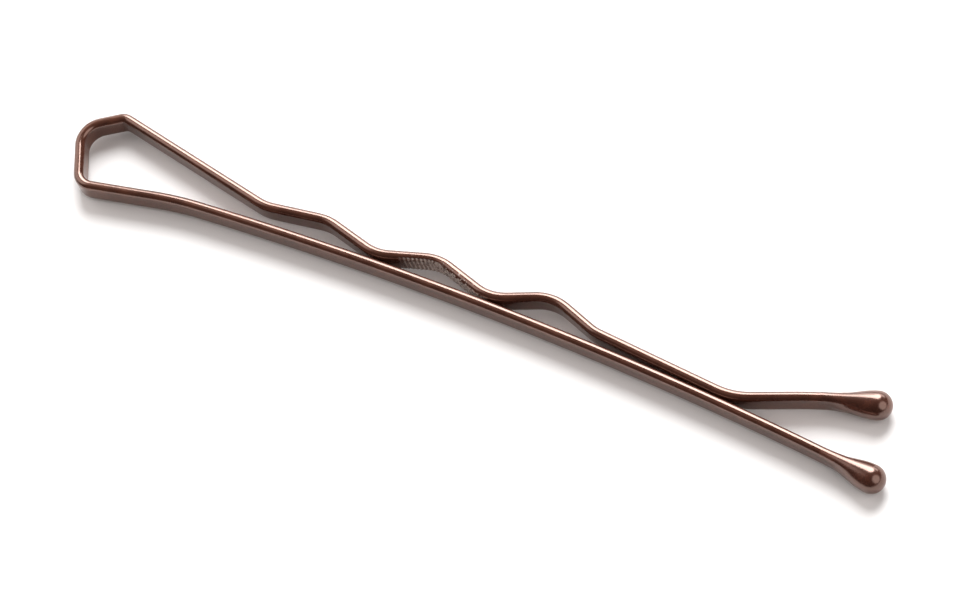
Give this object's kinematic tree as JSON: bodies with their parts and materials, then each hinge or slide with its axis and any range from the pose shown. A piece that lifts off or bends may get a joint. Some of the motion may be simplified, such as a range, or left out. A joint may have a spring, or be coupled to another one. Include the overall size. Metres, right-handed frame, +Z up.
{
  "type": "bobby pin",
  "caption": "Slim sprung hair pin of flat brown lacquered wire: a looped head, a bowed straight leg, a crimped leg with a flared end, and dipped beads on the tips.",
  "frame": {"origin": "centre of the pin's box in X and Y, on the plane that it lies on", "axes": "+X from the head to the tips, +Y from the straight leg to the crimped leg, +Z up across the width of the wire, with the pin lying on its side"},
  "size_m": [0.0508, 0.0056, 0.0016],
  "materials": {
    "lacquered_wire": "glossy dark brown lacquer on flat spring steel wire",
    "dipped_bead": "glossy dark brown dipped lacquer drop"
  },
  "bodies": {
    "straight_leg": {"straight_leg": "lacquered_wire", "straight_leg_tip": "dipped_bead"},
    "head": {"head_bend": "lacquered_wire"},
    "crimped_leg": {"crimped_leg": "lacquered_wire", "crimped_leg_tip": "dipped_bead"}
  },
  "joints": [
    {"name": "straight_leg_flex", "type": "hinge", "parent": "straight_leg", "child": "head", "pos_m": [-0.01698, -0.00162, 0.0008], "axis": [0, 0, 1], "range_deg": [0, 7.5], "stiffness_Nm_per_rad": 0.28},
    {"name": "crimped_leg_flex", "type": "hinge", "parent": "head", "child": "crimped_leg", "pos_m": [-0.01835, 0.00125, 0.0008], "axis": [0, 0, 1], "range_deg": [0, 7.5], "stiffness_Nm_per_rad": 0.28}
  ]
}
